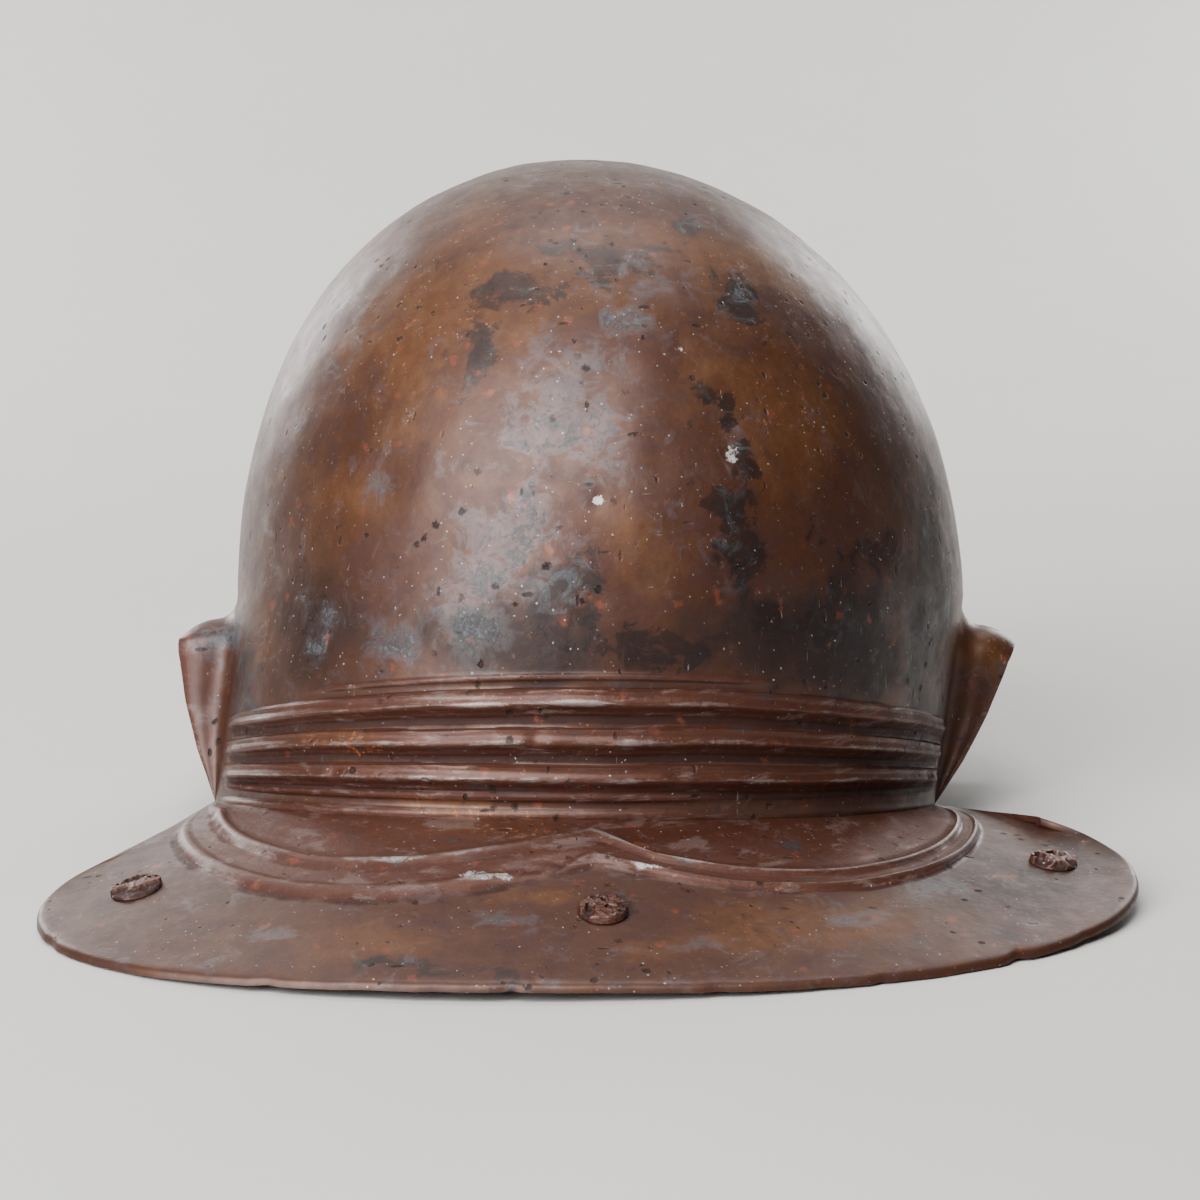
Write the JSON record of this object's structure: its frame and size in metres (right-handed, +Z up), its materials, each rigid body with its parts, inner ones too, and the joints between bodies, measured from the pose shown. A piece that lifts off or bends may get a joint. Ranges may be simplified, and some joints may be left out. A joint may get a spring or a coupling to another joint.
{
  "type": "roman legionary helmet",
  "caption": "iron infantry helmet skull with a tall bowl, ribbed nape, flanges round the ears and a wide sloping neck guard with raised crescents and riveted bosses",
  "frame": {"origin": "centre of the base of the bounding box, on the surface the helmet rests on", "axes": "+X is the wearer's right, +Y the way the wearer faces, +Z up with the helmet lying on its brow rim and neck guard; the neck guard is at -Y"},
  "size_m": [0.2788, 0.3034, 0.1835],
  "materials": {
    "skull_iron": "waxed rust-brown patina, satin",
    "boss_iron": "corroded dark iron, rough"
  },
  "bodies": {
    "root": {"skull": "skull_iron", "boss_left": "boss_iron", "boss_centre": "boss_iron", "boss_right": "boss_iron"}
  },
  "joints": []
}
